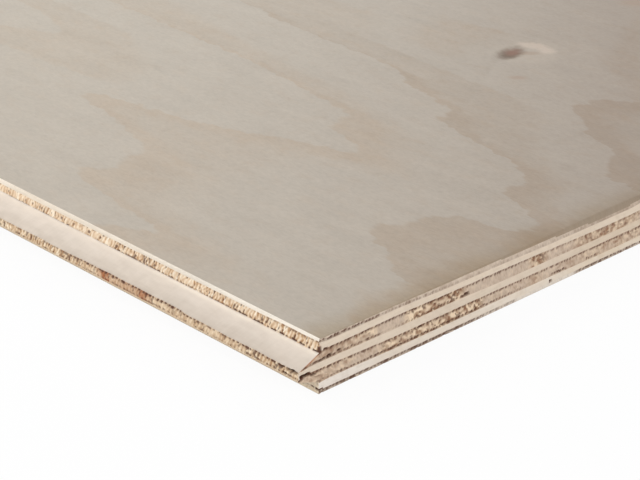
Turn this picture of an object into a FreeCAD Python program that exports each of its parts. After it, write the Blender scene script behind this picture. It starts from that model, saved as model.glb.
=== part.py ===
"""Tongue-and-groove plywood underlayment panel: seven cross-laid veneers, milled as one sheet.

Millimetres. The panel lies flat with its back on z = 0 and its face up.
X runs across the sheet, from the tongue (-X) to the groove (+X). Y runs along the sheet,
which is the grain direction of the face. The origin is the centre of the bounding box's base.
"""
import FreeCAD, Part
import math
import os

# Sheet: a nominal 4 ft by 8 ft panel. The tongue is extra to the covering width.
LENGTH = 2438.0
COVER_WIDTH = 1206.5

# Veneers from the face down: node name and thickness. The grain turns at every glue line.
PLIES = (
    ("face_ply", 1.5),
    ("upper_crossband", 2.8),
    ("upper_centre_ply", 3.8),
    ("middle_crossband", 2.4),
    ("lower_centre_ply", 3.9),
    ("lower_crossband", 2.4),
    ("back_ply", 1.5),
)
THICKNESS = sum(thickness for _, thickness in PLIES)

# Tongue: a tapered nose with a blunt tip. Depths are measured down from the face.
TONGUE_LENGTH = 8.2
UPPER_SHOULDER = 4.7
LOWER_SHOULDER = 4.3
TIP_DEPTH = 8.3
TIP_HEIGHT = 2.9
TIP_RADIUS = 0.5

# Groove: the tongue's own outline, opened by these clearances.
FLANK_CLEARANCE = 0.25
END_CLEARANCE = 0.8
ROOT_RADIUS = 0.4

# The face's two long arrises are eased so that neighbouring sheets meet without a raised splinter.
ARRIS_RADIUS = 0.3

# Places that follow from the sizes above.
TONGUE_SIDE_X = -(COVER_WIDTH + TONGUE_LENGTH) / 2 + TONGUE_LENGTH
GROOVE_SIDE_X = TONGUE_SIDE_X + COVER_WIDTH
UPPER_SLOPE = (TIP_DEPTH - UPPER_SHOULDER) / TONGUE_LENGTH
LOWER_SLOPE = (THICKNESS - LOWER_SHOULDER - TIP_DEPTH - TIP_HEIGHT) / TONGUE_LENGTH


def nose_outline(root_x, reach, growth):
    """Four corners of a tapered nose, from its upper root round the tip to its lower root.

    root_x is where the nose leaves the shoulder, reach is how far it stands out towards -X,
    and growth is how much larger it is than the tongue above and below.
    """
    top = THICKNESS - UPPER_SHOULDER + growth
    bottom = LOWER_SHOULDER - growth
    return [
        (root_x, top),
        (root_x - reach, top - UPPER_SLOPE * reach),
        (root_x - reach, bottom + LOWER_SLOPE * reach),
        (root_x, bottom),
    ]


def rounded_wire(corners, radii):
    """Closed wire in the XZ plane through the corners, each corner with a tangent arc of its radius."""
    points = [FreeCAD.Vector(x, 0, z) for x, z in corners]
    count = len(points)
    starts = []
    middles = []
    ends = []
    for index, (corner, radius) in enumerate(zip(points, radii)):
        back = (points[index - 1] - corner).normalize()
        ahead = (points[(index + 1) % count] - corner).normalize()
        half_angle = back.getAngle(ahead) / 2
        bisector = (back + ahead).normalize()
        starts.append(corner + back * (radius / math.tan(half_angle)))
        ends.append(corner + ahead * (radius / math.tan(half_angle)))
        middles.append(corner + bisector * (radius / math.sin(half_angle) - radius))
    edges = []
    for index, radius in enumerate(radii):
        if radius:
            edges.append(Part.Arc(starts[index], middles[index], ends[index]).toShape())
        edges.append(Part.LineSegment(ends[index], starts[(index + 1) % count]).toShape())
    return Part.Wire(edges)


def along_sheet(wire):
    """Solid of a section wire carried along the whole length of the sheet, centred on Y = 0."""
    solid = Part.Face(wire).extrude(FreeCAD.Vector(0, LENGTH, 0))
    solid.translate(FreeCAD.Vector(0, -LENGTH / 2, 0))
    return solid


def milled_sheet():
    """The whole sheet with the tongue left on one long edge and the groove cut in the other."""
    tongue = nose_outline(TONGUE_SIDE_X, TONGUE_LENGTH, 0.0)
    groove = nose_outline(GROOVE_SIDE_X, TONGUE_LENGTH + END_CLEARANCE, FLANK_CLEARANCE)
    upper_lip = [(GROOVE_SIDE_X, THICKNESS)]
    lower_lip = [(GROOVE_SIDE_X, 0)]
    corners = (
        [(TONGUE_SIDE_X, THICKNESS)]
        + tongue
        + [(TONGUE_SIDE_X, 0)]
        + lower_lip
        + groove[::-1]
        + upper_lip
    )
    nose_radii = [0, TIP_RADIUS, TIP_RADIUS, 0]
    root_radii = [0, ROOT_RADIUS, ROOT_RADIUS, 0]
    radii = [ARRIS_RADIUS] + nose_radii + [0, 0] + root_radii + [ARRIS_RADIUS]
    return along_sheet(rounded_wire(corners, radii))


def ply_blank(top, thickness):
    """A veneer before milling: a flat slab wider than the sheet, with its upper side at height top."""
    spare = TONGUE_LENGTH
    width = COVER_WIDTH + TONGUE_LENGTH + 2 * spare
    corner = FreeCAD.Vector(-width / 2, -LENGTH / 2, top - thickness)
    return Part.makeBox(width, LENGTH, thickness, corner)


def plies():
    """Each veneer of the finished sheet as (name, solid), from the face down."""
    sheet = milled_sheet()
    top = THICKNESS
    for name, thickness in PLIES:
        veneer = sheet.common(ply_blank(top, thickness))
        yield name, veneer.Solids[0]
        top -= thickness


def main():
    """Write one STEP file per veneer."""
    os.makedirs("parts", exist_ok=True)
    for name, solid in plies():
        if not solid.isValid():
            raise ValueError(f"{name} is not a valid solid")
        solid.exportStep(f"parts/{name}.step")
        box = solid.BoundBox
        print(f"{name}: {box.XLength:.1f} x {box.YLength:.1f} x {box.ZLength:.2f} mm")


main()
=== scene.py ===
"""Looks of a tongue-and-groove plywood underlayment panel, built around its packed plies.

Metres, +Z up. X runs across the sheet from the tongue to the groove, and Y runs along it, which is
the grain direction of the face. Every ply is a piece of its own with its cut sides carved: torn
pores, lathe checks and gaps where a cut crosses the grain, and a calm surface where it follows it.
Four numbers are stored on every vertex for the finishes: "cavity" is how deep it lies in a pit or
crack, which the finishes paint dark, partly as painted shade, "stroke" is the light or dark fibre
it lies on, with painted highlights, painted light and painted shade added on some cut sides, "open"
is how open the wood is there, and "stain" is how brown it is.
"""

import logging
import math
from dataclasses import dataclass, replace
from enum import Enum

import bmesh
import bpy
import numpy as np
from mathutils import Matrix, Vector


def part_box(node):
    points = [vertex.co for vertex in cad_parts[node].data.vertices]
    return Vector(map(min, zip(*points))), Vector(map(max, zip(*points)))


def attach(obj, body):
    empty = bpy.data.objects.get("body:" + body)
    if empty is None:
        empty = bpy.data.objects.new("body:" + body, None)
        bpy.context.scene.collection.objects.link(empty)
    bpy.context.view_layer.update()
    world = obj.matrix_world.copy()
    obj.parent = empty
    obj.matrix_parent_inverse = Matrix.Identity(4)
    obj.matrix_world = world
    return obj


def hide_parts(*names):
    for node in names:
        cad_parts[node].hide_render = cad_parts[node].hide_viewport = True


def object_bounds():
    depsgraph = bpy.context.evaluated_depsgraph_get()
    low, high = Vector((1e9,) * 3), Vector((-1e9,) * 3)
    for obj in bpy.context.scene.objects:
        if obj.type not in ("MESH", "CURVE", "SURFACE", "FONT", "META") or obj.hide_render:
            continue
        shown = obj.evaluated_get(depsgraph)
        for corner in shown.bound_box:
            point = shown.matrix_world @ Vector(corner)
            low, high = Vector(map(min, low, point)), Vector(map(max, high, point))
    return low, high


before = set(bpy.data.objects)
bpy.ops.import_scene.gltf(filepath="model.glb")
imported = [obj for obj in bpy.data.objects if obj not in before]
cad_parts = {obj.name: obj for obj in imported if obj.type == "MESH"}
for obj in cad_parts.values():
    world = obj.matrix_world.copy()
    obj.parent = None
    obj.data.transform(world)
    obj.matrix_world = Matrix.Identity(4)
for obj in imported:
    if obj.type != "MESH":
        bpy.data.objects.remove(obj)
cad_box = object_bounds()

MM = 0.001
# Places less than this apart, in metres, are the same place.
TINY = 1e-6
BACK_Z, FACE_Z = cad_box[0].z, cad_box[1].z
STORED = ("cavity", "stroke", "open", "stain")
Colour = tuple[float, float, float]
Places = tuple[tuple[float, float], ...]
log = logging.getLogger("underlayment_panel")


class Grain(Enum):
    """Which way a veneer's grain runs in the sheet."""

    LENGTHWISE = "along Y"
    CROSSWISE = "along X"


class Cut(Enum):
    """The two pairs of cut sides; the tongue and the near end start with a stretch that is set from listed
    places.
    """

    EDGES = "milled long edges"
    ENDS = "sawn ends"


# ---------------------------------------------------------------------------------------------
# Shader maths
# ---------------------------------------------------------------------------------------------


class Value:
    """A number that varies over a surface, with the usual operators as Math nodes."""

    def __init__(self, book: "NodeBook", socket: bpy.types.NodeSocket) -> None:
        """Hold the socket that carries the number.

        Args:
            book: the node book that adds the Math nodes.
            socket: the output that carries the number.
        """
        self.book = book
        self.socket = socket

    def _math(self, operation: str, *others: "Value | float", clamp: bool = False) -> "Value":
        """Add one Math node with this value first.

        Args:
            operation: what the node works out.
            others: its other inputs.
            clamp: whether the result is held between 0 and 1.

        Returns:
            The result.
        """
        inputs = dict(enumerate((self, *others)))
        settings = {"operation": operation, "use_clamp": clamp}
        return self.book.value("ShaderNodeMath", settings, inputs)

    def _reflected(self, operation: str, first: float) -> "Value":
        """Add one Math node with a plain number first."""
        return self.book.value("ShaderNodeMath", {"operation": operation}, {0: first, 1: self})

    def __add__(self, other: "Value | float") -> "Value":
        """self + other."""
        return self._math("ADD", other)

    __radd__ = __add__

    def __sub__(self, other: "Value | float") -> "Value":
        """self - other."""
        return self._math("SUBTRACT", other)

    def __rsub__(self, other: float) -> "Value":
        """other - self."""
        return self._reflected("SUBTRACT", other)

    def __mul__(self, other: "Value | float") -> "Value":
        """self * other."""
        return self._math("MULTIPLY", other)

    __rmul__ = __mul__

    def __truediv__(self, other: "Value | float") -> "Value":
        """self / other."""
        return self._math("DIVIDE", other)

    def __rtruediv__(self, other: float) -> "Value":
        """other / self."""
        return self._reflected("DIVIDE", other)

    def fraction(self) -> "Value":
        """What is left after the whole number below."""
        return self._math("FRACT")

    def root(self) -> "Value":
        """Square root."""
        return self._math("SQRT")

    def clamped(self) -> "Value":
        """Held between 0 and 1."""
        return self._math("ADD", 0.0, clamp=True)

    def at_least(self, other: "Value | float") -> "Value":
        """The larger of the two."""
        return self._math("MAXIMUM", other)

    def step(self, low: float, high: float) -> "Value":
        """Smooth step that is 0 at low and 1 at high, whichever is the larger.

        Args:
            low: where the step is 0.
            high: where the step is 1.

        Returns:
            The smooth step.
        """
        start, stop, first, last = (low, high, 0.0, 1.0) if low < high else (high, low, 1.0, 0.0)
        settings = {"interpolation_type": "SMOOTHSTEP"}
        inputs = {"Value": self, "From Min": start, "From Max": stop, "To Min": first, "To Max": last}
        return self.book.value("ShaderNodeMapRange", settings, inputs, "Result")


class NodeBook:
    """Makes every node of one material or world."""

    def __init__(self, owner: bpy.types.Material | bpy.types.World) -> None:
        """Start from an empty tree.

        Args:
            owner: the material or world whose tree is written.
        """
        owner.use_nodes = True
        self.tree = owner.node_tree
        self.tree.nodes.clear()

    def node(
        self, kind: str, settings: dict[str, object], inputs: dict[int | str, object]
    ) -> bpy.types.Node:
        """Add one node.

        Args:
            kind: the node's type name.
            settings: properties, set before the sockets; "stops" holds a ramp's (place, colour) pairs.
            inputs: socket name or index to a Value, a socket or a constant.

        Returns:
            The new node.
        """
        made = self.tree.nodes.new(kind)
        for name, setting in settings.items():
            if name == "stops":
                self._set_stops(made.color_ramp, setting)
            else:
                setattr(made, name, setting)
        for name, content in inputs.items():
            socket = made.inputs[name] if isinstance(name, int) else self._enabled(made.inputs, name)
            if isinstance(content, Value):
                content = content.socket
            if isinstance(content, bpy.types.NodeSocket):
                self.tree.links.new(content, socket)
            else:
                socket.default_value = content
        return made

    @staticmethod
    def _set_stops(ramp: bpy.types.ColorRamp, stops: list[tuple[float, Colour]]) -> None:
        """Give a ramp its stops.

        Args:
            ramp: the ramp.
            stops: (place, colour) pairs, from the lowest place to the highest.
        """
        ramp.interpolation = "CARDINAL"
        while len(ramp.elements) < len(stops):
            ramp.elements.new(1.0)
        for element, (place, colour) in zip(ramp.elements, stops):
            element.position = place
            element.color = (*colour, 1.0)

    @staticmethod
    def _enabled(sockets: bpy.types.bpy_prop_collection, name: str) -> bpy.types.NodeSocket:
        """The enabled socket of that name; a Mix node has one of each name for every data type."""
        return next(socket for socket in sockets if socket.name == name and socket.enabled)

    def value(
        self, kind: str, settings: dict[str, object], inputs: dict[int | str, object], name: str = "Value"
    ) -> Value:
        """Add a node and wrap its output of that name."""
        return Value(self, self._enabled(self.node(kind, settings, inputs).outputs, name))

    def axes(self) -> tuple[Value, Value, Value]:
        """The point's place in the frame.

        Returns:
            Its X, Y and Z, in metres.
        """
        place = self.node("ShaderNodeTexCoord", {}, {}).outputs["Object"]
        split = self.node("ShaderNodeSeparateXYZ", {}, {"Vector": place})
        return tuple(Value(self, split.outputs[index]) for index in range(3))

    def vector(
        self, x: Value | float, y: Value | float, z: Value | float = 0.0
    ) -> bpy.types.NodeSocket:
        """Three numbers as one vector."""
        return self.node("ShaderNodeCombineXYZ", {}, {0: x, 1: y, 2: z}).outputs[0]

    def attribute(self, name: str) -> Value:
        """A number stored on the mesh."""
        return self.value("ShaderNodeAttribute", {"attribute_name": name}, {}, "Fac")

    def noise(
        self, x: Value, y: Value, z: Value | float = 0.0, detail: float = 2.0, roughness: float = 0.5
    ) -> Value:
        """Soft cloudy noise about 0.5, with one bump for each unit of x, y and z.

        Args:
            x: first coordinate.
            y: second coordinate.
            z: third coordinate, or a plain number that picks the pattern.
            detail: how many finer layers are added.
            roughness: how strong the finer layers are.

        Returns:
            The noise.
        """
        inputs = {"Vector": self.vector(x, y, z), "Scale": 1.0, "Detail": detail, "Roughness": roughness}
        return self.value("ShaderNodeTexNoise", {"noise_dimensions": "3D"}, inputs, "Fac")

    def curve(self, value: Value, places: Places) -> Value:
        """A smooth curve through given places.

        Args:
            value: where the curve is read.
            places: (where, height) pairs in rising order.

        Returns:
            The curve's height.
        """
        first, last = places[0][0], places[-1][0]
        low, high = min(height for _, height in places), max(height for _, height in places)
        stops = [
            ((at - first) / (last - first), ((height - low) / (high - low),) * 3) for at, height in places
        ]
        share = (value - first) / (last - first)
        ramp = self.value("ShaderNodeValToRGB", {"stops": stops}, {"Fac": share}, "Color")
        return ramp * (high - low) + low

    def mix(
        self, first: object, second: object, factor: Value | float, blend: str = "MIX"
    ) -> bpy.types.NodeSocket:
        """One colour laid over another.

        Args:
            first: the colour where factor is 0, as a link or as (r, g, b).
            second: the colour where factor is 1.
            factor: how much of the second shows.
            blend: the blend type.

        Returns:
            The mixed colour.
        """
        settings = {"data_type": "RGBA", "blend_type": blend, "clamp_factor": True}
        colours = [c if isinstance(c, bpy.types.NodeSocket) else (*c, 1.0) for c in (first, second)]
        made = self.node("ShaderNodeMix", settings, {"Factor": factor, "A": colours[0], "B": colours[1]})
        return self._enabled(made.outputs, "Result")

    def shaded(self, colour: bpy.types.NodeSocket, amount: Value) -> bpy.types.NodeSocket:
        """The colour times a number."""
        return self.mix(colour, self.vector(amount, amount, amount), 1.0, "MULTIPLY")

    def seen(self) -> Value:
        """Tell what is looked at, straight or in a mirror or glass, from light on its way.

        Returns:
            1 for what is looked at, and 0 for light.
        """
        path = self.node("ShaderNodeLightPath", {}, {})
        names = ("Is Camera Ray", "Is Glossy Ray", "Is Transmission Ray")
        camera, glossy, glass = (Value(self, path.outputs[name]) for name in names)
        return camera.at_least(glossy).at_least(glass)

    def finish(
        self,
        colour: bpy.types.NodeSocket,
        roughness: Value | float,
        height: Value,
        relief: float,
        specular: float,
    ) -> None:
        """Close a material's tree with a Principled surface.

        Args:
            colour: base colour.
            roughness: roughness, as a link or a constant.
            height: height field for the fine relief.
            relief: how high a height of 1 stands, in metres.
            specular: specular level, the same all over.
        """
        bump = self.node("ShaderNodeBump", {}, {"Height": height, "Distance": relief, "Strength": 1.0})
        inputs = {
            "Base Color": colour,
            "Roughness": roughness,
            "Normal": bump.outputs["Normal"],
            "Specular IOR Level": specular,
        }
        surface = self.node("ShaderNodeBsdfPrincipled", {}, inputs)
        self.node("ShaderNodeOutputMaterial", {}, {"Surface": surface.outputs["BSDF"]})


# ---------------------------------------------------------------------------------------------
# Finishes of the broad faces
# ---------------------------------------------------------------------------------------------


@dataclass(frozen=True)
class Pattern:
    """Cloudy noise on a broad face: bumps to the metre across and along the sheet, and how it breaks up.

    number tells the patterns of one finish apart. amount is how far the noise swings what it moves.
    """

    across: float
    along: float
    number: float
    detail: float = 2.0
    roughness: float = 0.5
    amount: float = 1.0


FLAME_WAVE = Pattern(55.0, 16.0, 0.0, amount=0.014)
FRAY = Pattern(420.0, 60.0, 1.0, detail=1.0)
CLOUD = Pattern(30.0, 11.0, 2.0)
PORES = Pattern(1500.0, 190.0, 3.0)
RING_SWAY = Pattern(330.0, 190.0, 4.0, amount=0.0055)
BROAD_FLAMES = Pattern(3.6, 0.7, 5.0, detail=1.0)
SHARP_FLAMES = Pattern(15.0, 1.6, 6.0)
RING_WAVE = Pattern(200.0, 50.0, 7.0, amount=0.007)
KNOT_RIM = Pattern(300.0, 220.0, 8.0)
DRIFT = Pattern(1.7, 0.9, 9.0, detail=1.0, amount=0.35)
MOTTLE = Pattern(520.0, 330.0, 10.0, detail=3.0, roughness=0.6, amount=0.15)
STREAKS = Pattern(190.0, 36.0, 11.0, detail=3.0, amount=0.14)
BORDER_RIM = Pattern(70.0, 40.0, 12.0, amount=0.014)
FLECKS = Pattern(1300.0, 420.0, 13.0, roughness=0.6, amount=0.24)
GRAIN = Pattern(230.0, 120.0, 14.0, detail=3.0)
PATCHES = Pattern(90.0, 45.0, 15.0, amount=0.09)
MARKS = Pattern(120.0, 45.0, 16.0, detail=1.0)
CHIP_RIM = Pattern(420.0, 420.0, 28.0, amount=0.45)


@dataclass(frozen=True)
class FaceMap:
    """Where a point lies on a broad face, in metres from the near tongue corner, for one finish."""

    book: NodeBook
    across: Value
    along: Value
    seed: float

    def noise(self, pattern: Pattern) -> Value:
        """Lay a pattern over the sheet.

        Args:
            pattern: the pattern.

        Returns:
            Its noise, about 0.5.
        """
        x, y = self.across * pattern.across, self.along * pattern.along
        return self.book.noise(x, y, self.seed + pattern.number, pattern.detail, pattern.roughness)

    def swing(self, pattern: Pattern) -> Value:
        """The pattern about 0, times its amount."""
        return (self.noise(pattern) - 0.5) * pattern.amount


@dataclass(frozen=True)
class Ring:
    """Tan of one growth ring between a crisp edge and a soft floor, in millimetres from the near corner.

    The tan is strongest right below the edge. It falls to a share of itself, rest, between fade times
    full and full below the edge, and stays there down to the floor. blur and soft are how wide the
    edge and the floor are, and dark is how much the tan darkens the wood.
    """

    edge: Places
    floor: Places
    full: float
    strength: float = 1.0
    rest: float = 0.5
    soft: float = 8.0
    dark: float = 0.0
    blur: float = 1.5
    fade: float = 0.35

    def tan(self, where: FaceMap) -> Value:
        """How tan the ring makes the wood.

        Args:
            where: the place on the face, with the wood's small wiggles.

        Returns:
            The tan.
        """
        below = where.book.curve(where.across / MM, self.edge) - where.along / MM
        above = where.along / MM - where.book.curve(where.across / MM, self.floor)
        full = below.step(self.full, self.full * self.fade) * (1.0 - self.rest) + self.rest
        return below.step(0.0, self.blur) * above.step(-self.soft, self.soft) * full * self.strength


@dataclass(frozen=True)
class Oval:
    """A turned oval on the face, measured from the near tongue corner."""

    across: float
    along: float
    long: float
    short: float
    turn: float

    def ratio(self, across: "Value | np.ndarray", along: "Value | np.ndarray") -> "Value | np.ndarray":
        """Distance from the centre as a share of the way to the oval's line.

        Args:
            across: distance across the sheet.
            along: distance along the sheet.

        Returns:
            The share, which is 1 on the line.
        """
        cos, sin = math.cos(self.turn), math.sin(self.turn)
        dx, dy = across - self.across, along - self.along
        u = (dx * cos + dy * sin) / self.long
        v = (dy * cos - dx * sin) / self.short
        total = u * u + v * v
        return total.root() if isinstance(total, Value) else np.sqrt(total)


@dataclass(frozen=True)
class Mark:
    """A stain or painted shade with a soft line: it starts at outer and is full at inner, as shares of the
    oval's way.
    """

    oval: Oval
    colour: Colour
    outer: float
    inner: float
    strength: float


KNOT_BROWN: Colour = (0.135, 0.090, 0.056)
MARK_BROWN: Colour = (0.36, 0.25, 0.18)
KNOT_HEART = Oval(0.2143, 0.1168, 0.0080, 0.0043, math.radians(12))
KNOT_BED = Oval(0.2200, 0.1130, 0.0090, 0.0090, 0.0)
KNOT_STAINS_AND_SHADE = (
    # Painted shade in the bed of the fallen-out knot.
    Mark(Oval(0.2195, 0.1125, 0.0050, 0.0022, math.radians(-45)), (0.36, 0.27, 0.20), 1.3, 0.4, 0.6),
    Mark(Oval(0.2970, 0.1205, 0.0090, 0.0060, math.radians(-45)), MARK_BROWN, 1.3, 0.3, 0.5),
    Mark(Oval(0.1965, 0.0975, 0.0040, 0.0024, math.radians(-45)), MARK_BROWN, 1.2, 0.3, 0.45),
    Mark(KNOT_HEART, KNOT_BROWN, 1.38, 0.3, 0.95),
    Mark(Oval(0.2163, 0.1175, 0.0046, 0.0032, math.radians(12)), (0.30, 0.125, 0.085), 1.3, 0.2, 0.4),
)


@dataclass(frozen=True)
class PeeledVeneer:
    """Rotary-peeled softwood: broad tan flames with one crisp edge on greyish pale wood, and knots.

    rings are drawn near the near tongue corner, as far across and along as figured says in metres,
    and seeded flames take over beyond that.
    """

    name: str
    pale: Colour
    tan: Colour
    seed: float
    origin: tuple[float, float]
    rings: tuple[Ring, ...] = ()
    figured: tuple[float, float] = (0.30, 0.34)
    knot_size: float = 0.008
    knots_per_metre: float = 2.3
    flame_depth: float = 0.9
    flame_fork: float = 0.3
    flame_run: float = 0.15
    flame_strength: float = 0.85
    flame_dark: float = 0.0
    flame_fray: float = 0.0035
    ring_fray: float = 0.004
    knot_pull: float = 0.02
    knot_colour: Colour = KNOT_BROWN
    chip_colour: Colour = (0.62, 0.51, 0.42)
    soiled_colour: Colour = (0.85, 0.78, 0.67)
    pore_relief: float = 0.09 * MM

    def material(self) -> bpy.types.Material:
        """Write the material.

        Returns:
            The material.
        """
        made = bpy.data.materials.new(self.name)
        book = NodeBook(made)
        x, y, _ = book.axes()
        face = FaceMap(book, x - self.origin[0], y - self.origin[1], self.seed)
        beyond = self._reach(face).step(0.98, 1.25) if self.rings else face.across * 0.0 + 1.0
        knot, halo = self._knots(face, beyond)
        tan, shade = self._figure(face, beyond, halo)
        colour = book.shaded(book.mix(self.pale, self.tan, tan), 1.0 - shade)
        colour = book.shaded(colour, self._tone(face, beyond))
        if self.rings:
            # Painted shade, darker and browner towards the near groove corner, fading out beyond the drawn
            # rings.
            colour = book.mix(colour, self._painted_shade(face), self._reach(face).step(2.0, 1.0), "MULTIPLY")
        colour = book.mix(colour, self.knot_colour, knot)
        pores = face.noise(PORES)
        colour = book.shaded(colour, 1.015 - pores.step(0.66, 0.8) * 0.07)
        if self.rings:
            colour = self._chipped_knot(face, self._soiled_border(face, colour))
        book.finish(colour, 0.62 + tan * 0.12, pores, self.pore_relief, 0.28)
        return made

    def _reach(self, face: FaceMap) -> Value:
        """How far a point lies from the near tongue corner, as a share of the drawn stretch."""
        return (face.across / self.figured[0]).at_least(face.along / self.figured[1])

    def _figure(self, face: FaceMap, beyond: Value, halo: Value) -> tuple[Value, Value]:
        """The growth rings, with the cloudy tan between them.

        Args:
            face: the place on the face.
            beyond: 0 where the figure is drawn near the corner, 1 elsewhere.
            halo: how much the wood bends round a knot.

        Returns:
            How tan the wood is, and how much darker it is for that.
        """
        fray = face.noise(FRAY) - 0.5
        level = face.along + face.swing(FLAME_WAVE) + fray * self.flame_fray - halo * self.knot_pull
        tan = self._flames(replace(face, along=level)) * beyond
        shade = tan * self.flame_dark
        if self.rings:
            bent = face.across + face.swing(RING_SWAY)
            level = face.along + face.swing(RING_WAVE) + fray * self.ring_fray
            wiggly = replace(face, across=bent, along=level)
            for ring in self.rings:
                part = ring.tan(wiggly) * (1.0 - beyond)
                tan, shade = tan.at_least(part), shade.at_least(part * ring.dark)
        cloud, grain = face.noise(CLOUD), face.noise(GRAIN)
        tan = tan * (cloud * 0.4 + grain * 1.1 + 0.25)
        tan = tan + cloud.step(0.5, 0.85) * 0.15 + grain.step(0.46, 0.76) * 0.3
        return (tan + halo * 0.5).clamped(), shade

    def _flames(self, face: FaceMap) -> Value:
        """Tan of the seeded rings.

        Args:
            face: the place on the face, with the wood's waves.

        Returns:
            How tan the wood is.
        """
        level = face.noise(BROAD_FLAMES) * self.flame_depth + face.noise(SHARP_FLAMES) * self.flame_fork
        rings_below = 60.0
        part = ((level - face.along) / self.flame_run + rings_below).fraction()
        return part.step(0.0, 0.02) * part.step(0.75, 0.04) * self.flame_strength

    def _knots(self, face: FaceMap, beyond: Value) -> tuple[Value, Value]:
        """Scattered tight knots, one to a cell at most.

        Args:
            face: the place on the face.
            beyond: 0 where the figure is drawn near the corner, 1 elsewhere.

        Returns:
            How much knot shows, and how much the wood round it bends.
        """
        book, cells = face.book, self.knots_per_metre
        settings = {"voronoi_dimensions": "3D", "feature": "F1"}
        vector = book.vector(face.across * cells, face.along * cells * 0.75, self.seed)
        cell = book.node("ShaderNodeTexVoronoi", settings, {"Vector": vector, "Scale": 1.0})
        size = Value(book, cell.outputs["Color"]).step(0.42, 0.72) * (self.knot_size * cells)
        ragged = face.noise(KNOT_RIM) * 0.5 + 0.75
        ratio = Value(book, cell.outputs["Distance"]) * ragged / (size + 0.0005)
        knot = ratio.step(1.15, 0.8) * (0.6 + ratio.step(0.45, 0.85) * 0.4) * beyond
        return knot, ratio.step(4.5, 1.0) * beyond

    def _tone(self, face: FaceMap, beyond: Value) -> Value:
        """Broad light and dark of the sheet, with flecks, mottling and streaks on top.

        Args:
            face: the place on the face.
            beyond: 0 where the figure is drawn near the corner, 1 elsewhere.

        Returns:
            What the colour is multiplied by.
        """
        flecks = face.noise(FLECKS)
        tone = face.swing(DRIFT) * beyond + 1.0
        tone = tone + (flecks - 0.5) * FLECKS.amount - flecks.step(0.62, 0.78) * 0.13
        for pattern in (MOTTLE, STREAKS, PATCHES):
            tone = tone + face.swing(pattern)
        return tone - face.noise(MARKS).step(0.64, 0.82) * 0.06

    def _painted_shade(self, face: FaceMap) -> bpy.types.NodeSocket:
        """Painted shade: the face drawn darker and browner towards its near groove corner.

        Args:
            face: the place on the face.

        Returns:
            What the colour is multiplied by.
        """
        u, v = face.across * 10.0, face.along * 10.0
        red = u * -0.077 + v * 0.073 + u * v * 0.061 - u * u * 0.028 - v * v * 0.022 + 0.877
        red = red.at_least(0.70).clamped()
        return face.book.vector(red, red * 1.18 - 0.17, red * 1.24 - 0.234)

    def _soiled_border(self, face: FaceMap, colour: bpy.types.NodeSocket) -> bpy.types.NodeSocket:
        """Brown the last stretch of the face before the near end, unevenly.

        Args:
            face: the place on the face.
            colour: colour of the wood.

        Returns:
            The colour with the soiling on it.
        """
        near = (face.along + face.swing(BORDER_RIM)).step(0.013, -0.003)
        near = near * (1.0 - face.across.step(0.14, 0.20) * 0.45)
        return face.book.mix(colour, self.soiled_colour, near, "MULTIPLY")

    def _chipped_knot(self, face: FaceMap, colour: bpy.types.NodeSocket) -> bpy.types.NodeSocket:
        """Colour the fallen-out knot: tan bed, pale broken rim, painted shade in the bed, and the stains and
        heart on them.

        Args:
            face: the place on the face.
            colour: colour of the wood round the knot.

        Returns:
            The colour with the knot laid over it.
        """
        book, ragged = face.book, face.swing(CHIP_RIM)
        bed = KNOT_BED.ratio(face.across, face.along) + ragged
        right = (face.across * 0.96 - face.along * 0.28).step(0.1785, 0.1835)
        far = (face.across + face.along).step(0.3290, 0.3350)
        rim = bed.step(0.35, 0.8) * bed.step(1.3, 1.0) * right * far
        colour = book.mix(colour, self.tan, bed.step(1.9, 0.9) * 0.25)
        colour = book.mix(colour, self.chip_colour, rim * 0.5)
        for mark in KNOT_STAINS_AND_SHADE:
            ratio = mark.oval.ratio(face.across, face.along) + ragged
            colour = book.mix(colour, mark.colour, ratio.step(mark.outer, mark.inner) * mark.strength)
        return colour


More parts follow.
